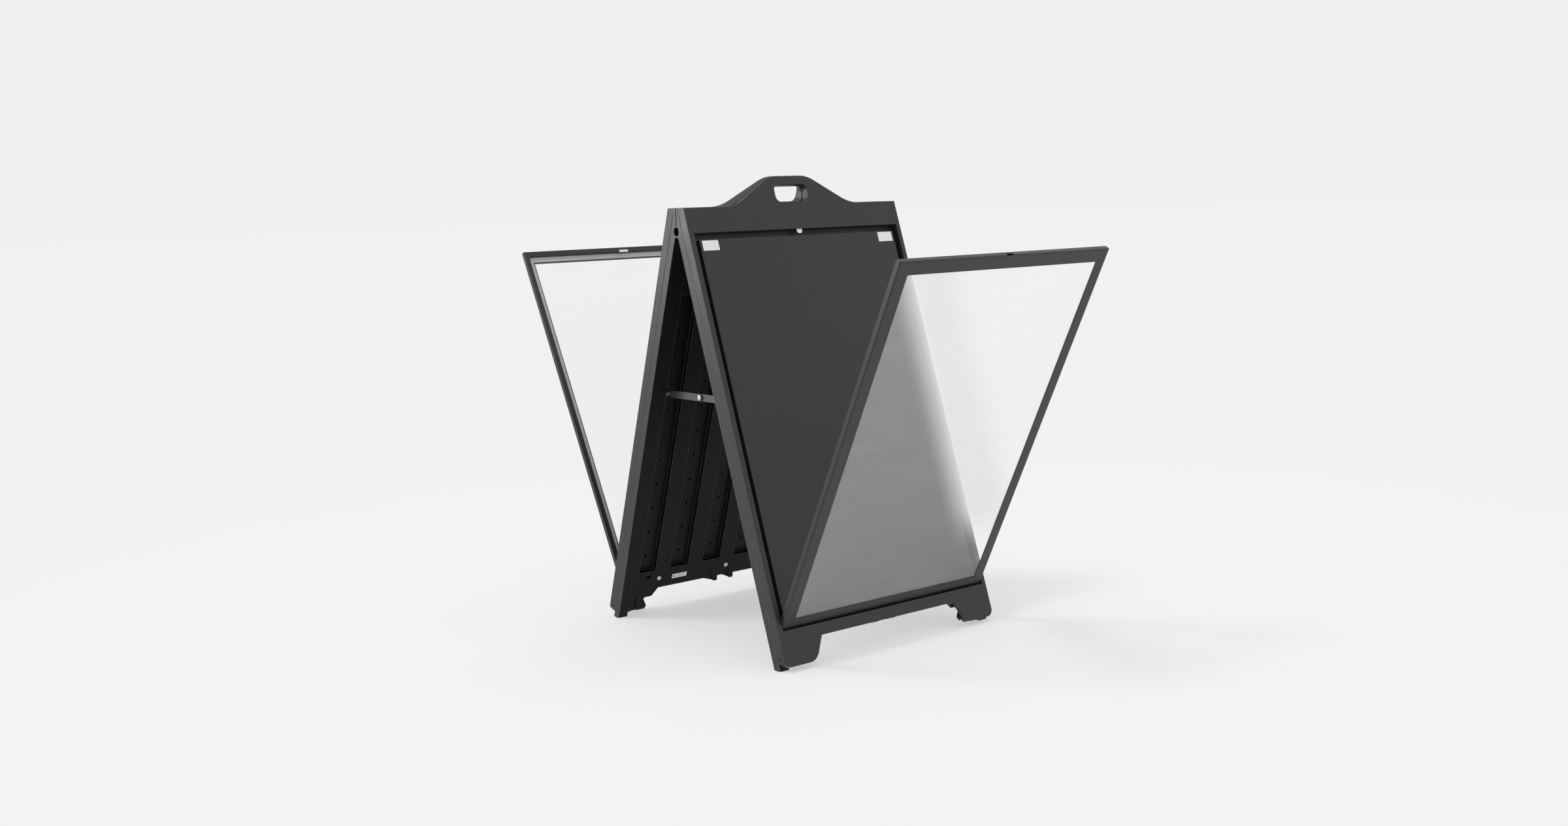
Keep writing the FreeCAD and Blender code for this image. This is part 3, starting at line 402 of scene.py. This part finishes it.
@dataclass(frozen=True)
class HookPile:
    """White woven fabric with a dense pile of small hooks."""

    name: str
    level: float = 0.99

    def material(self) -> bpy.types.Material:
        """Builds the material."""
        tree = ShaderTree(self.name)
        pile = tree.cells(0.0009)
        fuzz = tree.noise(0.003, 4.0)
        # Painted shade: the pile is painted darker between the hooks, where it lies low.
        colour = tree.blend(tree.spread(pile, 0.1, 0.7), grey(self.level), grey(self.level * 0.8))
        shade = tree.blend(tree.math("MULTIPLY", fuzz, 0.25), colour, grey(self.level * 0.85, (1, 1, 0.98)))
        normal = tree.bump(tree.spread(pile, 0.0, 0.8, (1, 0)), 0.00025)
        return tree.finish(Base_Color=shade, Roughness=0.95, Normal=normal, Sheen_Weight=0.25)


@dataclass(frozen=True)
class PrintedLabel:
    """A white adhesive label with a plain green block and a few grey bars, and no words."""

    name: str

    def material(self) -> bpy.types.Material:
        """Builds the material: bars and a block at fixed shares of the label's own box."""
        tree = ShaderTree(self.name)
        low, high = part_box("inside_label")
        x, _, z = tree.axes()
        along = tree.spread(x, low.x, high.x)
        up = tree.spread(z, low.z, high.z)
        block = self.window(tree, along, 0.06, 0.2, up, 0.2, 0.8)
        bars = tree.math("GREATER_THAN", tree.math("FRACT", tree.math("MULTIPLY", up, 4.5)), 0.55)
        field_of_bars = tree.math("MULTIPLY", bars, self.window(tree, along, 0.3, 0.9, up, 0.12, 0.88))
        fibre = tree.noise(0.0015, 3.0)
        paper = tree.blend(fibre, grey(0.82), grey(0.9))
        barred = tree.blend(field_of_bars, paper, grey(0.45, (0.95, 1.0, 1.0)))
        colour = tree.blend(block, barred, (0.12, 0.42, 0.16, 1.0))
        normal = tree.bump(fibre, 0.00003)
        gloss = tree.spread(fibre, 0.3, 0.7, (0.4, 0.5))
        return tree.finish(Base_Color=colour, Roughness=gloss, Normal=normal)

    @staticmethod
    def window(tree: ShaderTree, along: bpy.types.NodeSocket, left: float, right: float,
               up: bpy.types.NodeSocket, foot: float, head: float) -> bpy.types.NodeSocket:
        """1 inside a rectangle given in shares of the label, and 0 outside it.

        Args:
            tree: The tree that the nodes go in.
            along: The share of the label's length.
            left: Where the rectangle starts along it.
            right: Where it ends.
            up: The share of the label's height.
            foot: Where the rectangle starts up it.
            head: Where it ends.

        Returns:
            The mask.
        """
        tests = (("GREATER_THAN", along, left), ("LESS_THAN", along, right), ("GREATER_THAN", up, foot),
                 ("LESS_THAN", up, head))
        mask = None
        for operation, value, bound in tests:
            inside = tree.math(operation, value, bound)
            mask = inside if mask is None else tree.math("MULTIPLY", mask, inside)
        return mask


@dataclass(frozen=True)
class GlazingTape:
    """Matt off-white foam tape."""

    name: str
    level: float = 0.58
    tint: tuple[float, float, float] = (1.0, 1.0, 0.93)

    def material(self) -> bpy.types.Material:
        """Builds the material."""
        tree = ShaderTree(self.name)
        foam = tree.noise(0.0012, 4.0)
        deep, pale = grey(self.level * 0.9, self.tint), grey(self.level * 1.1, self.tint)
        colour = tree.blend(tree.noise(0.05, 3.0), deep, pale)
        gloss = tree.spread(foam, 0.3, 0.7, (0.75, 0.9))
        return tree.finish(Base_Color=colour, Roughness=gloss, Normal=tree.bump(foam, 0.00008))


@dataclass(frozen=True)
class StudioFloor:
    """Pale matt paper under the sign that shines as painted light, so that shadows on it stay light.

    This painted light falls from near to far with the distance from the sign. It is brighter near the sign,
    to lighten the shade that the sign casts, and lower where the sign no longer dims the paper.
    """

    name: str
    level: float = 0.40
    near: float = 0.5
    far: float = 3.4
    near_glow: float = 0.47
    far_glow: float = 0.436

    def material(self) -> bpy.types.Material:
        """Builds the material."""
        tree = ShaderTree(self.name)
        across, along, _ = tree.axes()
        square = tree.math("ADD", tree.math("POWER", across, 2.0), tree.math("POWER", along, 2.0))
        fall = (self.near_glow, self.far_glow)
        # Painted light: the floor glows, more strongly near the sign to lighten its shade on the paper.
        glow = tree.spread(tree.math("SQRT", square), self.near, self.far, fall, smooth=True)
        shade = tree.blend(tree.noise(0.8, 2.0), grey(self.level * 0.997), grey(self.level * 1.003))
        return tree.finish(Base_Color=shade, Roughness=1.0, Specular_IOR_Level=0.0,
                           Emission_Color=grey(1.0, (0.995, 1.0, 1.005)), Emission_Strength=glow)


WARM = (1.0, 0.99, 0.93)
FINE_GRAIN = {"grain": 0.0006, "grain_depth": 0.00003, "edge": 0.0008}
# Painted shade: the back shells' inner side is painted darker. Their paler edges, set high here, are partly
# painted highlights along the ribs.
SHADED_BACK_SHELL = MouldedPlastic("board_plastic_inner", 0.017, 0.2, edge=0.0022, tint=WARM, inner=0.34)
FINISHES = {
    Slot.BOARD: MouldedPlastic("board_plastic_grained", 0.017, 0.075, tint=WARM),
    Slot.BLACK: MouldedPlastic("fitting_plastic", 0.012, 0.04, roughness=0.36, **FINE_GRAIN),
    Slot.PIN: MouldedPlastic("pin_plastic", 0.004, 0.01, roughness=0.5, **FINE_GRAIN),
    Slot.RAIL: PowderCoat("rail_powder_coat", 0.017),
    Slot.SHEET: ClearLens("lens_clear"),
    Slot.STRIP: GlazingTape("glazing_tape"),
    Slot.PAD: HookPile("hook_pile"),
    Slot.LABEL: PrintedLabel("plain_label"),
    Slot.ZINC: PlatedSteel("zinc_plate", 0.62, 0.34, 0.1),
    Slot.BRIGHT: PlatedSteel("bright_plate", 0.78, 0.24),
    Slot.SPRING: PlatedSteel("spring_wire", 0.5, 0.36, tint=(1, 1, 1)),
    # Painted shade: the strap is set far darker than galvanised steel is.
    Slot.STRAP: PlatedSteel("galvanised", 0.13, 0.42, 0.28, (0.9, 1.0, 1.08)),
}


# ---------------------------------------------------------------- meshes


def put_mesh(name: str, points: np.ndarray, faces: np.ndarray | list) -> bpy.types.Object:
    """Makes a smooth object of arrays.

    Args:
        name: The piece's name.
        points: One row of x, y, z per vertex, in the sign's own frame.
        faces: The vertex numbers of each face.

    Returns:
        The new object, at the origin.
    """
    mesh = bpy.data.meshes.new(name)
    mesh.from_pydata(points.reshape(-1, 3).tolist(), [], list(faces))
    mesh.polygons.foreach_set("use_smooth", np.ones(len(mesh.polygons), bool))
    mesh.update()
    piece = bpy.data.objects.new(name, mesh)
    bpy.context.scene.collection.objects.link(piece)
    return piece


def grid_faces(rows: int, columns: int, first: int = 0) -> np.ndarray:
    """Faces of a grid of points, anticlockwise as seen with its rows running up and its columns right."""
    row, column = np.meshgrid(np.arange(rows - 1), np.arange(columns - 1), indexing="ij")
    start = (first + row * columns + column).ravel()
    return np.stack([start, start + 1, start + columns + 1, start + columns], axis=1)


def closed_grid(rows: int, columns: int) -> np.ndarray:
    """Faces of two grids of points that share their border: an upper one, then a lower one turned over."""
    upper = np.arange(rows * columns).reshape(rows, columns)
    lower = upper + rows * columns
    for edge in (np.s_[0, :], np.s_[-1, :], np.s_[:, 0], np.s_[:, -1]):
        lower[edge] = upper[edge]
    under = lower.ravel()[grid_faces(rows, columns)]
    return np.concatenate([grid_faces(rows, columns), under[:, ::-1]])


@dataclass(frozen=True)
class BoardPlace:
    """From board coordinates to the sign's own.

    u runs across the board, n outwards from the hinge axis to the face, and s up along the board from the
    hinge axis. The board leans by lean about that axis.
    """

    side: Side
    lean: float = math.radians(18.0)
    hinge_height: float = 0.96689

    def at(self, u: np.ndarray, n: np.ndarray, s: np.ndarray) -> np.ndarray:
        """The points with these board coordinates, one row each."""
        facing = -self.side.value
        y = s * math.sin(self.lean) - n * math.cos(self.lean)
        z = self.hinge_height + s * math.cos(self.lean) + n * math.sin(self.lean)
        return np.stack([facing * u, facing * y, z], axis=-1)


@dataclass(frozen=True)
class LensPlace:
    """From lens coordinates to the sign's own, with the frame swung open about its hinge axis."""

    board: BoardPlace
    opening: float = math.radians(44.6)
    axis_depth: float = 0.0415
    axis_drop: float = 0.9275

    def at(self, u: np.ndarray, n: np.ndarray, r: np.ndarray) -> np.ndarray:
        """The points that are u across, n in front of the axis and r up the frame from it, one row each."""
        depth = self.axis_depth + n * math.cos(self.opening) + r * math.sin(self.opening)
        climb = -self.axis_drop - n * math.sin(self.opening) + r * math.cos(self.opening)
        return self.board.at(u, depth, climb)


# ---------------------------------------------------------------- fine pieces


@dataclass(frozen=True)
class SealBead:
    """A thin black bead along the inner edge of a lens frame, where it meets the sheet."""

    place: LensPlace
    half_width: float = 0.2805
    foot: float = 0.0205
    head: float = 0.8785
    level: float = 0.00465
    reach: float = 0.0013
    height: float = 0.0006
    spokes: int = 12

    def build(self) -> bpy.types.Object:
        """Sweeps an ellipse round the frame's opening.

        At each corner the section lies on the mitre, so its points move out by the same distance both ways.
        """
        turn = np.arange(self.spokes) * 2 * math.pi / self.spokes
        out = self.reach * np.cos(turn)
        rise = self.level + self.height * np.sin(turn)
        corners = [(-1, -1), (1, -1), (1, 1), (-1, 1)]
        middle, half = (self.foot + self.head) / 2, (self.head - self.foot) / 2
        across, up = self.half_width + out, half + out
        rings = [self.place.at(a * across, rise, middle + b * up) for a, b in corners]
        ring, spoke = np.meshgrid(np.arange(len(corners)), np.arange(self.spokes), indexing="ij")
        here, after = ring * self.spokes, (ring + 1) % len(corners) * self.spokes
        beside = (spoke + 1) % self.spokes
        faces = np.stack([here + spoke, after + spoke, after + beside, here + beside], axis=-1)
        name = f"{self.place.board.side.name.lower()}_seal_bead"
        return put_mesh(name, np.stack(rings), faces.reshape(-1, 4))


@dataclass(frozen=True)
class HookPad:
    """One adhesive pad of woven hooks that holds a top corner of the poster."""

    place: BoardPlace
    hand: int
    outer: float = 0.291
    width: float = 0.046
    top: float = -0.036
    height: float = 0.0245
    base: float = 0.04302
    pile: float = 0.0009
    cell: float = 0.0007
    hook_turn: float = 2.1

    def build(self) -> bpy.types.Object:
        """A grid of hooks: height = base + pile * (share of hook + a slow swell), and base at the border.

        The share of hook is a product of two raised cosines that turn by hook_turn from one cell to the next,
        and the swell is a product of two slow sines that lean across the pad.
        """
        columns, rows = int(self.width / self.cell), int(self.height / self.cell)
        across, up = np.meshgrid(np.linspace(0, 1, columns), np.linspace(0, 1, rows))
        near = self.outer - self.width if self.hand > 0 else -self.outer
        u = near + across * self.width
        s = self.top - self.height + up * self.height
        row_of_hooks = 0.5 + 0.5 * np.cos(across * columns * self.hook_turn)
        hook = row_of_hooks * (0.5 + 0.5 * np.cos(up * rows * self.hook_turn))
        swell = 0.5 + 0.5 * np.sin(9 * across + 5 * up) * np.sin(7 * up - 3 * across)
        inside = np.zeros((rows, columns))
        inside[1:-1, 1:-1] = 1
        n = self.base + self.pile * inside * (0.45 + 0.35 * hook + 0.2 * swell)
        upper = self.place.at(u, n, s)
        lower = self.place.at(u, np.full_like(n, self.base), s)
        faces = closed_grid(rows, columns)
        name = f"{self.place.side.name.lower()}_hook_pad_{'right' if self.hand > 0 else 'left'}"
        return put_mesh(name, np.stack([upper, lower]), faces)


@dataclass(frozen=True)
class RoundHead:
    """The head of a screw or rivet: a shallow dome, with a cross recess if it is a screw."""

    name: str
    centre: tuple[float, float, float]
    outward: tuple[float, float, float]
    radius: float
    height: float
    recess: float = 0.0
    arm: float = 0.0006
    spokes: int = 48
    rings: int = 20

    def build(self) -> bpy.types.Object:
        """Turns a profile round the outward axis.

        The dome falls with the square of the radius and drops to the base at the rim. The recess is cut where
        a point is near either of two crossed lines and within about half of the radius, with sloping ends.
        """
        spokes, rings = self.spokes, self.rings
        outward = np.array(self.outward) / np.linalg.norm(self.outward)
        side = np.cross(outward, (0.0, 0.3, 1.0))
        side /= np.linalg.norm(side)
        top = np.cross(outward, side)
        angle = np.arange(spokes) * 2 * math.pi / spokes
        share = np.concatenate([np.linspace(0.03, 0.97, rings - 2), [1.0, 1.0]])[:, None]
        x, y = self.radius * share * np.cos(angle), self.radius * share * np.sin(angle)
        lift = self.height * (1 - 0.45 * share**2) * np.ones_like(x)
        lift[-2:] = [[self.height * 0.3], [0.0]]
        arm = np.minimum(np.abs(x), np.abs(y))
        depth = np.clip((self.arm * 1.6 - arm) / self.arm, 0, 1) * np.clip((0.62 - share) / 0.12, 0, 1)
        lift = lift - self.recess * depth
        points = np.array(self.centre) + x[..., None] * side + y[..., None] * top + lift[..., None] * outward
        middle = np.array(self.centre) + (self.height - self.recess) * outward
        ring, spoke = np.meshgrid(np.arange(rings - 1), np.arange(spokes), indexing="ij")
        start, after = ring * spokes + spoke, ring * spokes + (spoke + 1) % spokes
        faces = np.stack([start, start + spokes, after + spokes, after], axis=-1).reshape(-1, 4).tolist()
        hub = rings * spokes
        rim = hub - spokes
        for near in range(spokes):
            far = (near + 1) % spokes
            faces += [[hub, near, far], [hub + 1, rim + far, rim + near]]
        vertices = np.concatenate([points.reshape(-1, 3), [middle, np.array(self.centre)]])
        return put_mesh(self.name, vertices, faces)


# ---------------------------------------------------------------- studio


@dataclass(frozen=True)
class Viewpoint:
    """The camera: where it stands, how it is turned, and its lens."""

    place: tuple[float, float, float] = (-2.4746, -3.0797, 1.044)
    heading: float = 38.506
    dip: float = 7.629
    roll: float = -1.654
    lens_millimetres: float = 37.4
    sensor_millimetres: float = 36.0

    def build(self) -> bpy.types.Object:
        """Makes the camera, turned from straight ahead (+Y) by heading to the right, dip down and roll."""
        heading, dip, roll = (math.radians(a) for a in (self.heading, self.dip, self.roll))
        ahead = Vector((math.sin(heading) * math.cos(dip), math.cos(heading) * math.cos(dip), -math.sin(dip)))
        level = ahead.cross(Vector((0, 0, 1))).normalized()
        up = level.cross(ahead)
        right = math.cos(roll) * level + math.sin(roll) * up
        top = math.cos(roll) * up - math.sin(roll) * level
        data = bpy.data.cameras.new("studio_camera")
        data.lens = self.lens_millimetres
        data.sensor_width = self.sensor_millimetres
        camera = bpy.data.objects.new("studio_camera", data)
        turn = Matrix((right, top, -ahead)).transposed().to_4x4()
        camera.matrix_world = Matrix.Translation(self.place) @ turn
        bpy.context.scene.collection.objects.link(camera)
        bpy.context.scene.camera = camera
        return camera


@dataclass(frozen=True)
class SoftLight:
    """One large soft lamp aimed at a point."""

    name: str
    place: tuple[float, float, float]
    aim: tuple[float, float, float]
    width: float
    height: float
    watts: float
    spread: float

    def build(self) -> bpy.types.Object:
        """Makes the lamp."""
        data = bpy.data.lights.new(self.name, "AREA")
        data.shape = "RECTANGLE"
        data.size = self.width
        data.size_y = self.height
        data.energy = self.watts
        data.spread = math.radians(self.spread)
        lamp = bpy.data.objects.new(self.name, data)
        lamp.location = self.place
        lamp.rotation_euler = (Vector(self.aim) - Vector(self.place)).to_track_quat("-Z", "Y").to_euler()
        bpy.context.scene.collection.objects.link(lamp)
        return lamp


@dataclass(frozen=True)
class Studio:
    """A seamless pale floor and surroundings, and plain soft light."""

    surround: float = 0.871
    floor_reach: float = 60.0
    sun_strength: float = 0.88
    sun_angle: float = 14.0
    sun_from: tuple[float, float, float] = (-0.55, 0.25, 1.0)
    lamps: tuple[SoftLight, ...] = (
        SoftLight("side_lamp", (-4.2, 0.9, 1.25), (0.0, 0.0, 1.0), 1.6, 1.2, 1.6, 32.0),
        SoftLight("top_lamp", (-2.2, 2.2, 1.2), (-0.3, 0.0, 1.0), 0.8, 0.5, 1.1, 40.0),
    )

    def build(self) -> None:
        """Makes the surroundings, the sun, the lamps and the floor."""
        scene = bpy.context.scene
        scene.view_settings.view_transform = "Standard"
        world = bpy.data.worlds.new("studio")
        world.use_nodes = True
        world.node_tree.nodes["Background"].inputs["Color"].default_value = grey(self.surround)
        scene.world = world
        data = bpy.data.lights.new("soft_sun", "SUN")
        data.energy = self.sun_strength
        data.angle = math.radians(self.sun_angle)
        sun = bpy.data.objects.new("soft_sun", data)
        sun.rotation_euler = Vector(self.sun_from).to_track_quat("Z", "Y").to_euler()
        scene.collection.objects.link(sun)
        for lamp in self.lamps:
            lamp.build()
        self.floor()

    def floor(self) -> bpy.types.Object:
        """A flat square of paper far wider than the sign, just under its feet."""
        corners = self.floor_reach * np.array([(-1.0, -1, 0), (1, -1, 0), (1, 1, 0), (-1, 1, 0)])
        piece = put_mesh("studio_floor", corners, np.array([[0, 1, 2, 3]]))
        piece.data.materials.append(StudioFloor("floor_paper").material())
        return piece


# ---------------------------------------------------------------- the sign


@dataclass(frozen=True)
class CrossbarScrews:
    """The row of screws through the crossbar: their spacing, where they sit and the size of their heads."""

    pitch: float = 0.211
    depth: float = 0.0086
    radius: float = 0.0055
    height: float = 0.0022
    recess: float = 0.0016


@dataclass(frozen=True)
class RivetHead:
    """The size of the head on a stay's middle rivet."""

    radius: float = 0.0057
    height: float = 0.0014


@dataclass
class Dresser:
    """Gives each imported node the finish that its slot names."""

    frame: dict
    materials: dict[Slot, bpy.types.Material] = field(default_factory=dict)

    def of_slot(self, slot: Slot) -> bpy.types.Material:
        """The slot's material, made when it is first asked for."""
        if slot not in self.materials:
            self.materials[slot] = FINISHES[slot].material()
        return self.materials[slot]

    def back_shell(self) -> bpy.types.Material:
        """The board plastic with its inner side painted darker, as painted shade."""
        return bpy.data.materials.get(SHADED_BACK_SHELL.name) or SHADED_BACK_SHELL.material()

    def dress_nodes(self) -> None:
        """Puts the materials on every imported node."""
        for part in self.frame["record"]["subparts"]:
            node = self.frame["nodes"][part["node"]]
            node.data.materials.clear()
            inner = node.name.endswith("back_shell")
            material = self.back_shell() if inner else self.of_slot(Slot(part["material_slot"]))
            node.data.materials.append(material)
            LOG.info("dressed %s in %s", node.name, part["material_slot"])

    def dress(self, piece: bpy.types.Object, slot: Slot, body: str) -> bpy.types.Object:
        """Gives a new piece the finish of its slot, and lets it ride on a body."""
        piece.data.materials.append(self.of_slot(slot))
        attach(piece, body)
        LOG.info("made %s on %s", piece.name, body)
        return piece


def dress_side(dresser: Dresser, side: Side) -> None:
    """Adds one board's fine pieces: its seal bead, hook pads and screw heads.

    Args:
        dresser: What gives the pieces their finish and body.
        side: Which board.
    """
    name = side.name.lower()
    board = BoardPlace(side)
    lens = LensPlace(board)
    dresser.dress(SealBead(lens).build(), Slot.BLACK, f"{name}_lens")
    pads = [dresser.dress(HookPad(board, hand).build(), Slot.PAD, f"{name}_board") for hand in (-1, 1)]
    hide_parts(f"{name}_poster_pads")
    inward = board.at(*np.array([0.0, -1.0, 0.0])) - board.at(*np.zeros(3))
    row = CrossbarScrews()
    for number, step in enumerate((-1, 0, 1), start=1):
        centre = board.at(*np.array([step * row.pitch, row.depth, -lens.axis_drop]))
        sizes = (row.radius, row.height, row.recess)
        head = RoundHead(f"{name}_screw_head_{number}", tuple(centre), tuple(inward), *sizes)
        dresser.dress(head.build(), Slot.BRIGHT, f"{name}_board")


def dress_stays(dresser: Dresser) -> None:
    """Adds the domed head of the middle rivet to the outer strap of each stay."""
    size = RivetHead()
    for hand, body in ((-1, "left_rear_stay"), (1, "right_front_stay")):
        low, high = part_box(f"{body.removesuffix('_stay')}_rivet")
        centre = (min(low.x, high.x) if hand < 0 else max(low.x, high.x), 0.0, (low.z + high.z) / 2)
        head = RoundHead(f"{body}_rivet_head", centre, (float(hand), 0.0, 0.0), size.radius, size.height)
        dresser.dress(head.build(), Slot.BRIGHT, body)


def main(frame: dict) -> None:
    """Dresses the sign, adds the fine pieces and sets the studio.
    """
    dresser = Dresser(frame)
    dresser.dress_nodes()
    for side in Side:
        dress_side(dresser, side)
    dress_stays(dresser)
    Studio().build()
    Viewpoint().build()


if __name__ == "__main__":
    logging.basicConfig(level=logging.INFO, format="%(name)s: %(message)s")
    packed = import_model()
    main(packed)
